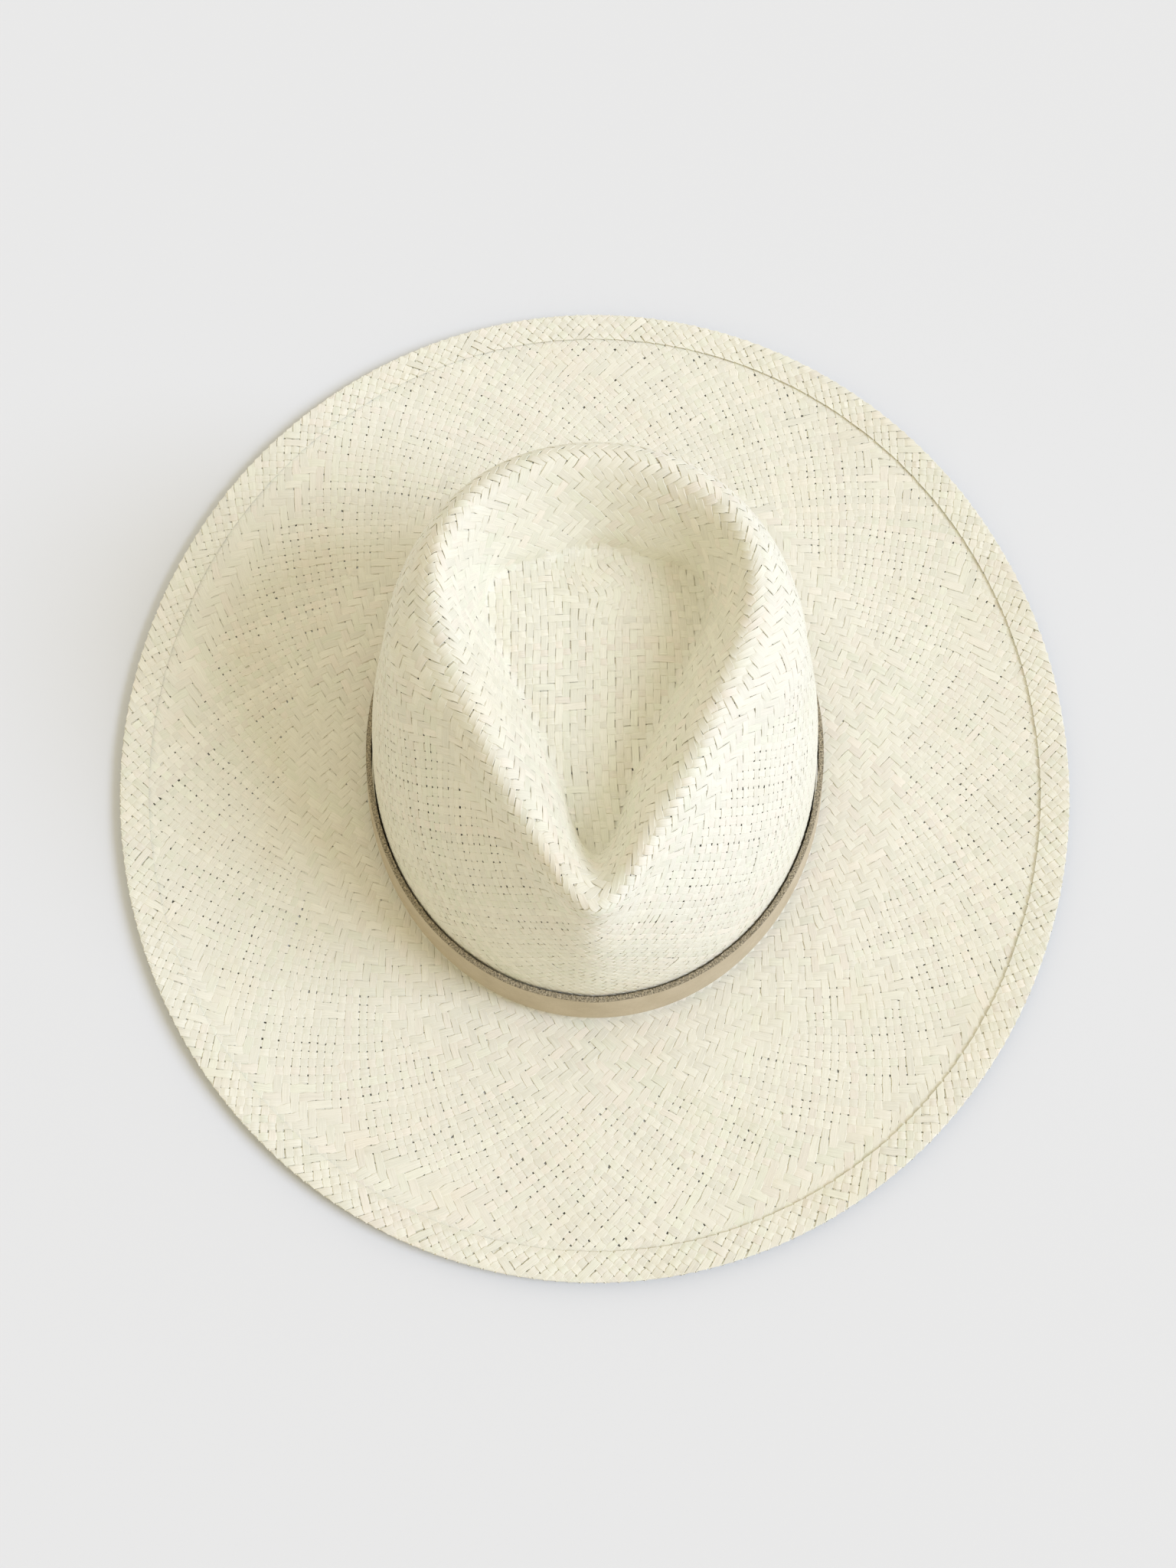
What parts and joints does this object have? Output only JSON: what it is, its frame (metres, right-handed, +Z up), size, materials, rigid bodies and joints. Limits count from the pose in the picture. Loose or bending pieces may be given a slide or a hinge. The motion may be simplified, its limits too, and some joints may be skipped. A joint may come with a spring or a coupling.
{
  "type": "panama hat",
  "caption": "Woven straw hat with a teardrop-dented, front-pinched crown, a wide flat brim, a leather strap band and a sewn-in sweatband.",
  "frame": {"origin": "centre of the oval head opening, on the plane the flat of the brim rests on", "axes": "+Z up through the crown, -Y to the front point of the crown, +X to the wearer's left"},
  "size_m": [0.3684, 0.3952, 0.1101],
  "materials": {
    "straw": "bleached toquilla palm straw, satin, woven",
    "band_leather": "smooth semi-matt, raw fibrous cut edges",
    "band_thread": "waxed thread",
    "sweatband_leather": "soft matt",
    "reed_cover": "cotton tape over a round reed",
    "sweatband_thread": "cotton thread",
    "bow_ribbon": "grosgrain ribbon",
    "label_cloth": "blank woven tab"
  },
  "bodies": {
    "hat": {"straw_body": "straw", "sweatband": "sweatband_leather", "sweatband_reed": "reed_cover", "sweatband_stitching": "sweatband_thread", "sweatband_bow": "bow_ribbon", "sweatband_label": "label_cloth"},
    "band": {"hat_band": "band_leather", "hat_band_stitching": "band_thread"}
  },
  "joints": [
    {"name": "band_lift", "type": "slide", "parent": "hat", "child": "band", "axis": [0, 0, 1], "range_m": [0, 0.13]}
  ]
}
